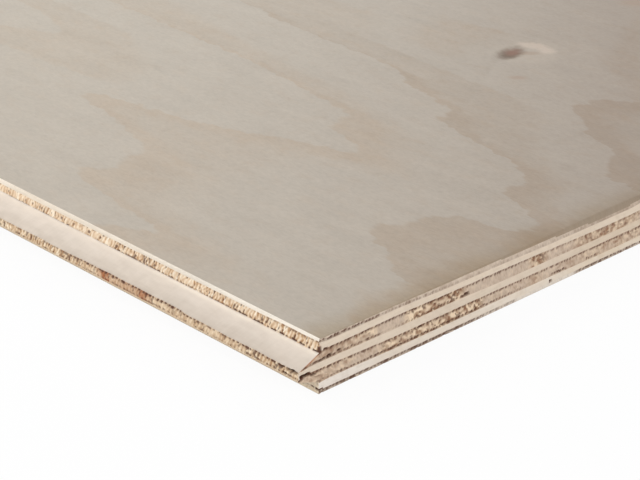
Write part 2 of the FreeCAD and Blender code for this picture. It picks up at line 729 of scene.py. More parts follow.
# Tan rings of the face round the near tongue corner.
FACE_RINGS = (
    Ring(
        edge=(
            (60, 340), (76, 330), (82, 300), (87, 280), (90, 270), (95, 259), (98, 252.5), (101, 251),
            (105, 257.5), (107.5, 267.5), (110, 277), (111, 290), (121, 335),
        ),
        floor=((72, 340), (76, 255), (80, 200), (100, 195), (110, 212), (119, 232), (121, 260), (124, 340)),
        full=30.0,
        strength=0.5,
        rest=0.8,
        blur=3.0,
    ),
    Ring(
        edge=(
            (0, 106), (10, 91), (12, 87), (14.5, 95), (16, 110), (18, 124), (20.5, 137), (25, 143),
            (31, 135.5), (42, 139.5), (50, 140), (54, 147), (58, 159), (62, 173), (64, 188), (67.5, 194),
            (72, 188), (75.5, 172), (78, 156), (84, 135), (92, 117), (98, 101), (101, 91), (104, 90),
            (108, 99), (111, 110), (120, 114.5), (125, 118), (128, 135), (132, 163), (136, 205), (142, 360),
        ),
        floor=(
            (0, 45), (15, 50), (22, 75), (27, 95), (50, 100), (60, 105), (80, 100), (88, 95), (100, 68),
            (110, 78), (120, 78), (127, 87), (131, 101), (135, 118), (140, 140), (143, 170), (148, 203),
            (152, 230), (158, 255), (165, 300), (175, 370),
        ),
        full=38.0,
        strength=0.85,
        soft=20.0,
        blur=4.0,
    ),
    Ring(
        edge=(
            (30, -60), (40, -20), (45, 12), (50, 22), (55, 27), (56, 34), (60, 40), (65, 44), (70, 40),
            (80, 37.5), (86, 35), (90, 30), (92, 20), (95, 10), (99, 6), (101, -30),
        ),
        floor=((0, -60), (100, -61)),
        dark=0.055,
        full=34.0,
        strength=0.9,
        rest=0.7,
        blur=3.2,
    ),
    Ring(
        edge=((8, -30), (14, 2), (20, 10), (30, 15), (38, 12), (44, 10), (52, -30)),
        floor=((0, -60), (100, -61)),
        full=40.0,
        strength=0.6,
        dark=0.03,
        blur=9.0,
    ),
    Ring(
        edge=(
            (95, -30), (99, 6), (105, 9), (107.5, 15), (110.6, 20), (112, 29), (117.5, 35), (122.5, 32.5),
            (127.5, 35), (132.5, 42.5), (136, 50), (138, 62.5), (140, 72.5), (142.5, 82.5), (145, 90),
            (150, 92), (155, 96), (159, 111), (161, 121), (166, 129), (170, 140), (172, 170), (174, 209),
            (177.5, 227), (184, 330),
        ),
        floor=(
            (99, -60), (118, 8), (135, 22), (140, 32), (150, 50), (167, 62), (177, 72), (180, 90),
            (182, 125), (185, 200), (190, 340),
        ),
        full=24.0,
        strength=0.85,
        rest=0.45,
        dark=0.06,
        blur=3.0,
    ),
    Ring(
        edge=(
            (144, -40), (149, 12), (150, 19), (155, 22), (162, 27), (169, 30), (171, 37), (172.5, 45),
            (177.5, 51), (182.5, 57.5), (186, 62.5), (191, 68), (195, 64), (201, 65), (204, 60), (210, 52),
            (216, 30), (222, -40),
        ),
        floor=((140, -60), (300, -61)),
        full=26.0,
        strength=0.85,
        rest=0.3,
        dark=0.065,
        blur=2.6,
    ),
    Ring(
        edge=(
            (198, -40), (205, 30), (210, 57.5), (220, 69), (226, 79), (232, 91), (237, 94), (260, 104),
            (300, 120),
        ),
        floor=((140, -60), (300, -61)),
        full=40.0,
        strength=0.38,
        rest=0.7,
        blur=9.0,
    ),
    Ring(
        edge=((184, 90), (194, 150), (204, 164), (216, 167), (227, 158), (238, 90)),
        floor=((186, 132), (236, 128)),
        full=60.0,
        strength=0.42,
        soft=9.0,
        blur=14.0,
    ),
    Ring(
        edge=((174, 110), (181, 236), (192, 240), (203, 228), (216, 120)),
        floor=((176, 158), (190, 168), (214, 186)),
        full=80.0,
        strength=0.36,
        soft=10.0,
        blur=16.0,
    ),
)


# ---------------------------------------------------------------------------------------------
# Finishes of the cut sides
# ---------------------------------------------------------------------------------------------


@dataclass(frozen=True)
class Fibre:
    """How a cut side is figured: noise in bumps to the metre along the cut and up it.

    slant is how much the fine noise leans, contrast how strongly it shows and relief how high it
    stands, in metres.
    """

    fine: tuple[float, float]
    slant: float
    fine_detail: float
    broad: tuple[float, float]
    contrast: float
    relief: float


END_GRAIN = Fibre((2300.0, 650.0), 700.0, 2.0, (120.0, 180.0), 0.27, 0.10 * MM)
LONG_GRAIN = Fibre((160.0, 1100.0), 0.0, 3.0, (40.0, 160.0), 0.09, 0.03 * MM)


@dataclass(frozen=True)
class Tones:
    """Colours of a cut side: its calm wood, its open wood, and the light and dark fibres on them."""

    calm: Colour
    open: Colour
    pale: Colour
    dark: Colour


@dataclass(frozen=True)
class CutWood:
    """A cut side of a veneer, coloured by the numbers stored on its vertices.

    run_axis is the axis that the cut runs along, 0 for X and 1 for Y.
    """

    name: str
    tones: Tones
    fibre: Fibre
    run_axis: int
    seed: float
    cloudy: float = 0.16
    pit: Colour = (0.105, 0.044, 0.025)
    stain: Colour = (0.38, 0.135, 0.05)

    def material(self) -> bpy.types.Material:
        """Write the material.

        Returns:
            The material.
        """
        made = bpy.data.materials.new(self.name)
        book, fibre, tones = NodeBook(made), self.fibre, self.tones
        axes = book.axes()
        run, height = axes[self.run_axis], axes[2]
        cavity, stroke, opened, stained = (book.attribute(name) for name in STORED)
        slanted = run * fibre.fine[0]
        if fibre.slant:
            slanted = slanted + height * fibre.slant
        fine = book.noise(slanted, height * fibre.fine[1], self.seed, fibre.fine_detail)
        broad = book.noise(run * fibre.broad[0], height * fibre.broad[1], self.seed + 1.0)
        colour = book.mix(tones.calm, tones.open, opened)
        lean = (stroke - 0.5) * 2.0 + (fine - 0.5) * 0.5
        colour = book.mix(colour, tones.pale, lean.clamped() * 0.9)
        colour = book.mix(colour, tones.dark, (lean * -1.0).clamped() * 0.9)
        colour = book.shaded(colour, 1.0 + (fine - 0.5) * fibre.contrast + (broad - 0.5) * self.cloudy)
        colour = book.mix(colour, self.stain, stained * (fine * 0.8 + 0.4))
        # Pits, gaps and joint smears are painted dark: partly the darker torn wood and glue, partly painted
        # shade in the hollows.
        colour = book.mix(colour, self.pit, cavity)
        book.finish(colour, 0.72, fine, fibre.relief, 0.25)
        return made


CREAM_EDGE = Tones((0.85, 0.78, 0.68), (0.70, 0.58, 0.44), (0.95, 0.88, 0.78), (0.60, 0.47, 0.34))
BEVEL = Tones((0.73, 0.650, 0.567), (0.68, 0.57, 0.45), (0.86, 0.78, 0.68), (0.50, 0.415, 0.335))
# The back ply's edge is given a paler calm tone to paint light onto the strip under the tongue, which lies in
# shade.
BACK_EDGE = Tones((0.90, 0.74, 0.53), (0.60, 0.42, 0.26), (0.97, 0.87, 0.70), (0.33, 0.21, 0.12))
LOWER_BEVEL = Tones((0.64, 0.505, 0.36), (0.55, 0.41, 0.27), (0.74, 0.62, 0.47), (0.33, 0.21, 0.12))
GOLD_FIBRE = Tones((0.80, 0.66, 0.51), (0.77, 0.575, 0.385), (0.95, 0.84, 0.68), (0.42, 0.23, 0.11))
TIP_FIBRE = Tones((0.77, 0.60, 0.42), (0.66, 0.475, 0.30), (0.93, 0.78, 0.58), (0.36, 0.20, 0.10))
FACE_END = Tones((0.59, 0.48, 0.385), (0.56, 0.44, 0.34), (0.78, 0.67, 0.55), (0.24, 0.16, 0.105))
CREAM_END = Tones((0.712, 0.596, 0.478), (0.66, 0.52, 0.38), (0.80, 0.69, 0.56), (0.52, 0.40, 0.29))
WHITE_END = Tones((0.84, 0.765, 0.69), (0.76, 0.64, 0.50), (0.85, 0.76, 0.65), (0.56, 0.45, 0.34))
PINK_END = Tones((0.58, 0.465, 0.37), (0.54, 0.38, 0.25), (0.88, 0.70, 0.51), (0.25, 0.12, 0.062))
LOWER_PINK_END = replace(PINK_END, calm=(0.63, 0.51, 0.41))
BACK_END = Tones((0.78, 0.70, 0.61), (0.45, 0.345, 0.26), (0.74, 0.63, 0.51), (0.20, 0.13, 0.085))
# Finish of each veneer's milled edges and of its sawn ends.
CUTS = {
    "face_ply": (
        CutWood("face_edge", CREAM_EDGE, LONG_GRAIN, 1, 1.0, cloudy=0.34),
        CutWood("face_end", FACE_END, END_GRAIN, 0, 2.0),
    ),
    "upper_crossband": (
        CutWood("upper_fibre_edge", GOLD_FIBRE, END_GRAIN, 1, 3.0),
        CutWood("upper_cream_end", CREAM_END, LONG_GRAIN, 0, 4.0),
    ),
    "upper_centre_ply": (
        CutWood("tongue_bevel", BEVEL, LONG_GRAIN, 1, 5.0),
        CutWood("upper_pink_end", PINK_END, END_GRAIN, 0, 6.0),
    ),
    "middle_crossband": (
        CutWood("tongue_tip", TIP_FIBRE, END_GRAIN, 1, 7.0),
        CutWood("middle_cream_end", CREAM_END, LONG_GRAIN, 0, 8.0),
    ),
    "lower_centre_ply": (
        CutWood("lower_bevel", LOWER_BEVEL, LONG_GRAIN, 1, 9.0),
        CutWood("lower_pink_end", LOWER_PINK_END, END_GRAIN, 0, 10.0),
    ),
    "lower_crossband": (
        CutWood("lower_fibre_edge", GOLD_FIBRE, END_GRAIN, 1, 11.0),
        CutWood("lower_white_end", WHITE_END, LONG_GRAIN, 0, 12.0),
    ),
    "back_ply": (
        CutWood("back_edge", BACK_EDGE, END_GRAIN, 1, 13.0, cloudy=0.4),
        CutWood("back_end", BACK_END, END_GRAIN, 0, 14.0),
    ),
}


# ---------------------------------------------------------------------------------------------
# How the cut sides are worn and torn
# ---------------------------------------------------------------------------------------------

# Odd numbers that scramble two whole numbers and a seed, and then the bits of the result.
PLACE_KEYS = (73856093, 19349663, 83492791)
BIT_KEYS = (1274126177, 668265263)
# How deep an upright arris is rubbed, as a share of how far the wear reaches.
RUBBED_SHARE = 0.28


def random_at(i: np.ndarray, j: np.ndarray, seed: int) -> np.ndarray:
    """Repeatable random number from 0 to 1 for each pair of whole numbers.

    Args:
        i: first whole number.
        j: second whole number.
        seed: picks the pattern.

    Returns:
        The random number of each pair.
    """
    keyed = (i.astype(np.int64) * PLACE_KEYS[0]) ^ (j.astype(np.int64) * PLACE_KEYS[1])
    mixed = keyed ^ (seed * PLACE_KEYS[2])
    mixed = ((mixed ^ (mixed >> 13)) * BIT_KEYS[0]) & 0xFFFFFFFF
    mixed = ((mixed ^ (mixed >> 15)) * BIT_KEYS[1]) & 0xFFFFFFFF
    return ((mixed ^ (mixed >> 16)) & 0xFFFF) / 65535.0


def lattice_noise(u: np.ndarray, v: np.ndarray, seed: int) -> np.ndarray:
    """Smooth noise from 0 to 1 with one bump for each unit.

    Args:
        u: first coordinate.
        v: second coordinate.
        seed: picks the pattern.

    Returns:
        The noise at each point.
    """
    column, row = np.floor(u), np.floor(v)
    a, b = u - column, v - row
    a, b = a * a * (3 - 2 * a), b * b * (3 - 2 * b)
    low = random_at(column, row, seed) * (1 - a) + random_at(column + 1, row, seed) * a
    high = random_at(column, row + 1, seed) * (1 - a) + random_at(column + 1, row + 1, seed) * a
    return low * (1 - b) + high * b


def line_noise(u: np.ndarray, seed: int) -> np.ndarray:
    """Smooth noise from 0 to 1 along a line."""
    return lattice_noise(u, u * 0, seed)


def smooth_step(low: float, high: float, value: np.ndarray) -> np.ndarray:
    """0 below low, 1 above high and smooth between."""
    share = np.clip((value - low) / (high - low), 0, 1)
    return share * share * (3 - 2 * share)


def bell(distance: np.ndarray, width: float) -> np.ndarray:
    """1 at distance 0, falling smoothly to nothing at about twice the width."""
    return np.exp(-((distance / width) ** 2))


def row_of_pits(run: np.ndarray, height: np.ndarray, pitch: float, seed: int) -> np.ndarray:
    """A ragged row of small leaning pits along height 0, all in millimetres.

    Args:
        run: distance along the row.
        height: distance above the row.
        pitch: usual distance from one pit to the next.
        seed: picks the pattern.

    Returns:
        How deep each point is, from 0 to 1.
    """
    uneven, scatter, slant = 0.4, 0.5, 0.3
    depth = np.zeros_like(run)
    for step in (-1, 0, 1):
        cell = np.floor(run / pitch) + step
        drawn = [random_at(cell, np.full_like(cell, number), seed) for number in range(5)]
        level = uneven * (drawn[1] - 0.5)
        centre = (cell + 0.5 + scatter * (drawn[0] - 0.5)) * pitch + slant * (height - level)
        wide, tall = pitch * (0.2 + 0.2 * drawn[2]), 0.26 + 0.24 * drawn[3]
        spot = np.exp(-(((run - centre) / wide) ** 2) - ((height - level) / tall) ** 2)
        depth += (0.5 + 0.8 * drawn[4]) * spot
    return smooth_step(0.08, 0.52, depth)


def rounded_off(away: np.ndarray, radius: "float | np.ndarray", share: float = 1.0) -> np.ndarray:
    """How far a rounded arris lies inside the square one.

    Args:
        away: distance from the arris, down or up the side.
        radius: radius of the rounding.
        share: share of the rounding that there is.

    Returns:
        The distance into the wood.
    """
    drop = np.clip(1 - away / radius, 0, 1)
    return share * radius * (1 - np.sqrt(1 - drop**2))


def blunted(away: np.ndarray, wear: np.ndarray) -> np.ndarray:
    """How far an upright arris is rubbed in, for the distance from it and how far the wear reaches."""
    return np.clip(1 - away / wear, 0, 1) ** 2 * wear * RUBBED_SHARE


@dataclass(frozen=True)
class Along:
    """A strength that changes along a cut side: set from listed places near the corner, and left to chance
    beyond.

    places are (millimetres from the near tongue corner, strength) pairs, and chance takes over
    round settled. usual is the mean strength there, and swing is how far it goes either side.
    """

    places: Places
    usual: float = 0.45
    swing: float = 0.45
    settled: float = 150.0

    def at(self, run: np.ndarray, hand_set: np.ndarray, seed: int, apart: int = 1) -> np.ndarray:
        """The strength at each place of two opposite sides.

        Args:
            run: distance along the side, in millimetres.
            hand_set: where the side is that starts with the listed places.
            seed: picks the pattern of the rest.
            apart: what the opposite side adds to the seed.

        Returns:
            The strengths.
        """
        chance, opposite = self._chance(run, seed), self._chance(run, seed + apart)
        if not self.places:
            return np.where(hand_set, chance, opposite)
        where, strength = np.array(self.places).T
        beyond = smooth_step(self.settled - 10, self.settled + 10, run)
        return np.where(hand_set, np.interp(run, where, strength) * (1 - beyond) + chance * beyond, opposite)

    def _chance(self, run: np.ndarray, seed: int) -> np.ndarray:
        """The strength where it is left to chance: long slow swells with shorter ones on them."""
        slow = line_noise(run / 38.0, seed) + 0.4 * line_noise(run / 9.0, seed + 50)
        return self.usual + self.swing * (smooth_step(0.35, 1.05, slow) * 2 - 1)


@dataclass(frozen=True)
class GlueLine:
    """The joint under one veneer, and the row of torn pits that follows it.

    drift and edge_drift are how far the joint lies above its nominal level along the ends and along
    the milled edges, in millimetres. ends and edges are the strength of the pits, and the offsets
    are how far above the joint the row runs on each.
    """

    drift: Along
    ends: Along
    edges: Along
    end_offset: float = 0.0
    edge_offset: float = 0.0
    edge_drift: Along = Along((), 0.0, 0.0)

    def pits(self, cut: Cut) -> tuple[Along, float]:
        """Strength of the pits on that pair of sides, and how far above the joint they run."""
        return (self.ends, self.end_offset) if cut is Cut.ENDS else (self.edges, self.edge_offset)


@dataclass(frozen=True)
class Gap:
    """A void or deep tear in one side, placed in millimetres from the near tongue corner and the back."""

    cut: Cut
    run: tuple[float, float]
    height: tuple[float, float]
    depth: float

    def at(self, run: np.ndarray, height: np.ndarray) -> np.ndarray:
        """Share of the full depth.

        Args:
            run: distance along the side.
            height: height above the back.

        Returns:
            The share at each point, from 0 to 1.
        """
        ragged = 0.22 * (lattice_noise(run / 0.9, height / 0.7, 77) - 0.5)
        from_middle = [
            np.abs(place - sum(span) / 2) / (span[1] - span[0]) * 2 + ragged
            for place, span in ((run, self.run), (height, self.height))
        ]
        return 1 - smooth_step(0.75, 1.2, np.maximum(*from_middle))


@dataclass(frozen=True)
class CutStyle:
    """What differs between the milled edges and the sawn ends.

    calm_contrast is how strongly the fibres show where the cut follows the grain, patchy how strong
    the broad patches are, and pit_pitch the usual distance between pits in millimetres. The seeds
    keep the chance of the two pairs of sides apart.
    """

    calm_contrast: float
    patchy: float
    pit_pitch: float
    seed: int
    joint_seed: int


STYLES = {Cut.EDGES: CutStyle(0.12, 0.35, 1.75, 0, 0), Cut.ENDS: CutStyle(0.22, 0.6, 1.4, 13, 17)}
CALM = Along((), 0.05, 0.05)
# Glue line n is the joint above veneer n, and there is none above the face or below the back.
GLUE_LINES: tuple[GlueLine | None, ...] = (
    None,
    GlueLine(
        Along(
            (
                (0, -0.05), (12, -0.05), (32, 0.0), (40, -0.2), (54, -0.7), (77, -0.9), (102, -1.4),
                (126, -1.6), (150, -1.6),
            ),
            0.0, 0.3,
        ),
        Along(((0, 0.75), (18, 0.75), (26, 0.3), (45, 0.35), (60, 0.2), (150, 0.15)), 0.15, 0.15),
        Along(((0, 0.5), (20, 0.4), (28, 0.1), (150, 0.05)), 0.1, 0.1),
        end_offset=0.5,
        edge_offset=-0.15,
        edge_drift=Along(
            ((0, 0.5), (15, 0.43), (28, 0.2), (37, 0.15), (62, 0.15), (87, 0.0), (112, -0.1), (150, -0.25)),
            0.0, 0.2,
        ),
    ),
    GlueLine(
        Along(
            (
                (0, 0.45), (12, 0.4), (32, 0.65), (54, 0.2), (77, 0.05), (102, -0.45), (126, -1.1),
                (150, -1.1),
            ),
            0.0, 0.3,
        ),
        Along(
            ((0, 0.9), (20, 0.9), (48, 0.85), (60, 0.7), (75, 0.65), (90, 0.45), (105, 0.35), (150, 0.35)),
        ),
        Along(
            (
                (0, 0.8), (22, 0.7), (30, 0.5), (34, 0.8), (40, 0.4), (60, 0.4), (70, 0.45), (90, 0.4),
                (95, 0.2), (150, 0.15),
            ),
        ),
        end_offset=-0.45,
        edge_offset=0.27,
        edge_drift=Along(((0, -0.42), (25, -0.4), (60, -0.33), (150, -0.28)), -0.2, 0.1),
    ),
    GlueLine(
        Along(
            (
                (0, 0.5), (12, 0.5), (32, 0.2), (54, 0.4), (77, -0.2), (102, -0.4), (126, -0.65),
                (150, -0.65),
            ),
            0.0, 0.3,
        ),
        Along(
            (
                (0, 0.7), (1, 1.0), (7, 1.0), (8, 0.6), (23, 0.8), (26, 0.15), (34, 0.3), (45, 0.6),
                (60, 0.65), (61, 1.0), (63, 1.0), (64, 0.1), (90, 0.1), (110, 0.2), (150, 0.1),
            ),
        ),
        Along(((0, 0.9), (24, 0.85), (30, 0.6), (44, 0.6), (48, 0.95), (95, 0.9), (110, 0.4), (150, 0.3))),
        end_offset=0.5,
        edge_offset=-0.15,
        edge_drift=Along(
            (
                (0, 0.0), (20, -0.02), (30, -0.05), (44, -0.08), (52, 0.08), (98, 0.08), (106, -0.05),
                (150, -0.1),
            ),
            0.0, 0.08,
        ),
    ),
    GlueLine(
        Along(
            (
                (-4, 0.9), (12, 0.77), (32, 0.07), (54, -0.05), (77, -0.1), (102, -0.35), (126, -0.45),
                (150, -0.5),
            ),
            0.0, 0.3,
        ),
        Along(
            (
                (-8, 0.9), (9, 0.8), (12, 0.55), (38, 0.7), (42, 1.0), (60, 0.85), (70, 0.55), (95, 0.55),
                (110, 0.5), (150, 0.5),
            ),
        ),
        Along(((0, 0.6), (20, 0.55), (26, 0.2), (48, 0.2), (54, 0.4), (98, 0.4), (104, 0.15), (150, 0.25))),
        end_offset=-0.45,
        edge_offset=0.3,
        edge_drift=Along(((0, -0.1), (150, -0.1)), -0.1, 0.08),
    ),
    GlueLine(
        Along(
            (
                (0, 0.3), (12, 0.3), (32, -0.1), (54, -0.15), (77, -0.1), (102, -0.3), (126, -0.55),
                (150, -0.55),
            ),
            0.0, 0.3,
        ),
        Along(
            (
                (0, 0.4), (12, 0.6), (20, 0.8), (30, 1.0), (64, 1.0), (70, 0.6), (88, 0.3), (92, 0.1),
                (102, 0.1), (104, 0.95), (108, 0.95), (110, 0.1), (119, 0.1), (120, 0.7), (124, 0.7),
                (126, 0.1), (150, 0.25),
            ),
        ),
        Along(((0, 0.25), (8, 0.5), (150, 0.6)), 0.4, 0.4),
        end_offset=0.55,
        edge_offset=-0.2,
    ),
    GlueLine(
        Along(((0, 0.05), (110, 0.0), (150, 0.0)), 0.0, 0.25),
        Along(
            ((0, 0.75), (62, 0.75), (72, 0.35), (84, 0.3), (87, 0.0), (113, 0.0), (116, 0.55), (150, 0.5)),
        ),
        Along(
            ((0, 0.75), (22, 0.7), (28, 0.4), (50, 0.4), (60, 0.5), (95, 0.5), (110, 0.4), (150, 0.5)),
            0.4, 0.4,
        ),
        end_offset=-0.55,
        edge_offset=0.2,
    ),
    None,
)
GAPS = (
    Gap(Cut.EDGES, (0.8, 5.0), (9.35, 10.1), 2.5),
    Gap(Cut.EDGES, (6.4, 7.8), (9.2, 10.0), 1.2),
    Gap(Cut.EDGES, (4.6, 6.4), (7.9, 8.5), 1.0),
    Gap(Cut.EDGES, (-0.5, 0.9), (13.9, 15.6), 1.0),
    Gap(Cut.ENDS, (-0.6, 1.0), (13.9, 15.6), 1.3),
    Gap(Cut.ENDS, (-7.2, -3.4), (8.0, 9.0), 1.6),
    Gap(Cut.ENDS, (-3.2, -1.0), (7.2, 7.9), 1.0),
    Gap(Cut.ENDS, (0.0, 1.0), (10.9, 11.6), 0.9),
    Gap(Cut.ENDS, (1.7, 2.6), (11.0, 11.8), 0.8),
    Gap(Cut.ENDS, (3.3, 5.1), (11.1, 12.1), 1.2),
    Gap(Cut.ENDS, (7.4, 8.6), (11.5, 12.2), 0.8),
    Gap(Cut.ENDS, (1.8, 3.6), (14.0, 14.6), 0.8),
    Gap(Cut.ENDS, (61.2, 63.4), (10.7, 11.7), 0.9),
    Gap(Cut.ENDS, (101.6, 102.8), (1.5, 2.5), 0.8),
    Gap(Cut.ENDS, (-0.6, 1.8), (1.3, 1.9), 0.5),
    Gap(Cut.EDGES, (-0.6, 1.4), (1.3, 1.9), 0.5),
)

# Painted highlights where the milled edge's arrises catch the light: depth below the face, half width and
# strength.
RIM_HIGHLIGHTS = ((0.5, 0.4, 0.2), (4.9, 0.32, 0.5))
# Radius of the worn upper arris of the ends for the distance from the tongue, both in millimetres.
END_ARRIS: Places = (
    (0, 0.06), (1.5, 0.25), (30, 0.3), (55, 0.45), (75, 0.5), (95, 0.75), (110, 0.9), (122, 1.25), (140, 1.2),
    (155, 0.6), (180, 0.35),
)
# Radius of the worn lower arris under the tongue, in millimetres, and the share of it under the near end.
BACK_ARRIS, END_SHARE = 0.6, 0.7
# How brown the arris between the tongue and the near end is, down from the face in millimetres.
ARRIS_BROWN: Places = ((1.6, 0.1), (2.4, 0.5), (3.2, 1.0), (4.4, 1.0), (5.0, 1.0), (7.6, 0.9), (8.3, 0.3))
# Depths of the fibres, the open pores and the pits at the glue lines, in millimetres.
FIBRE_DEPTH, PORE_DEPTH, PIT_DEPTH = 0.12, 0.25, 0.45
# How strongly the fibres show, and the distance between the tufts of torn fibre on the edges.
FIBRE_STRENGTH, PICKET_PITCH = 1.15, 1.35
# Strength and pitch of the small pits between the others, and height of the dark smear round them.
SMALL_PITS, SMALL_PIT_PITCH, SMEAR_HEIGHT = 0.6, 0.75, 0.42
# Painted shade on the face veneer's end past the place where its arris is rounded: how much darker its fibres
# are drawn there.
FACE_END_PAINTED_SHADE = 0.16
# How much painted light lifts the lower shoulder at the corner, where it lies in shade under the tongue, and
# how wide a closed break in the fibre is.
CORNER_PAINTED_LIGHT, BREAK_WIDTH = 0.45, 0.7
# The veneer that the tongue's upper slope is cut in, and how much darker that slope is lower down.
BEVEL_NUMBER, BEVEL_DARKER = 2, 0.28


class MilledOutline:
    """The sheet's two long edges as milled: X at every height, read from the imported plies."""

    def __init__(self, plies: list[bpy.types.Object]) -> None:
        """Collect the outline.

        Args:
            plies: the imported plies.
        """
        tongue: dict[float, float] = {}
        groove: dict[float, float] = {}
        for ply in plies:
            for vertex in ply.data.vertices:
                x, _, z = vertex.co
                side = tongue if x < 0 else groove
                side[round(z, 6)] = x
        self.tongue = np.array(sorted(tongue.items()))
        self.groove = np.array(sorted(groove.items()))

    def tongue_x(self, z: np.ndarray) -> np.ndarray:
        """X of the tongue edge at each height."""
        return np.interp(z, self.tongue[:, 0], self.tongue[:, 1])

    def groove_x(self, z: np.ndarray) -> np.ndarray:
        """X of the groove edge at each height."""
        return np.interp(z, self.groove[:, 0], self.groove[:, 1])

    def bends(self, low: float, high: float) -> list[float]:
        """Heights between low and high at which either edge turns."""
        heights = {*self.tongue[:, 0], *self.groove[:, 0]}
        return sorted(z for z in heights if low < z < high)


def put_in_order(bm: bmesh.types.BMesh) -> None:
    """Number edges and faces by their corners, so that every run gives the same mesh.

    Args:
        bm: the mesh. Its operators leave edges and faces in an order that changes from run to run.
    """
    bm.verts.index_update()
    for elements in (bm.edges, bm.faces):
        ranked = sorted(elements, key=lambda element: sorted(vert.index for vert in element.verts))
        for rank, element in enumerate(ranked):
            element.index = rank
        elements.sort()


@dataclass(frozen=True)
class Slab:
    """The six planes that a veneer fills before it is carved, in metres."""

    left: float
    right: float
    near: float
    far: float
    bottom: float
    top: float


class Spots:
    """Where the vertices of an uncarved veneer lie: in metres, and in millimetres from its sides."""

    def __init__(self, mesh: bpy.types.Mesh, slab: Slab) -> None:
        """Measure every vertex.

        Args:
            mesh: the uncarved veneer.
            slab: the planes that it fills.
        """
        co = np.empty(len(mesh.vertices) * 3)
        mesh.vertices.foreach_get("co", co)
        self.x, self.y, self.z = x, y, z = co.reshape(-1, 3).T
        self.on_edge = (np.abs(x - slab.left) < TINY) | (np.abs(x - slab.right) < TINY)
        self.on_end = (np.abs(y - slab.near) < TINY) | (np.abs(y - slab.far) < TINY)
        self.on_tongue, self.on_near_end = x < slab.left + TINY, y < slab.near + TINY
        self.tongue_half = x < (slab.left + slab.right) / 2
        self.from_edge = np.minimum(x - slab.left, slab.right - x) / MM
        self.from_end = np.minimum(y - slab.near, slab.far - y) / MM
        self.across, self.along = (x - slab.left) / MM, (y - slab.near) / MM
        self.share = (z - slab.bottom) / (slab.top - slab.bottom)


@dataclass(frozen=True)
class CutMap:
    """Where a veneer's vertices lie on one pair of cut sides, in millimetres.

    run is the distance along the side, under and over are the distances below the joint above and
    above the joint below, height is the height above the sheet's back, and hand_set is where the
    side of the pair lies that is set from listed places.
    """

    cut: Cut
    run: np.ndarray
    under: np.ndarray
    over: np.ndarray
    height: np.ndarray
    hand_set: np.ndarray


@dataclass
class Relief:
    """How deep one pair of cut sides is carved, in millimetres, and the numbers stored for its finish.

    fine is where the vertices stand close enough for fine relief, and narrow is the narrow noise
    that the fibres and the stains follow.
    """

    depth: np.ndarray
    cavity: np.ndarray
    stroke: np.ndarray
    open: np.ndarray
    stain: np.ndarray
    fine: np.ndarray
    narrow: np.ndarray


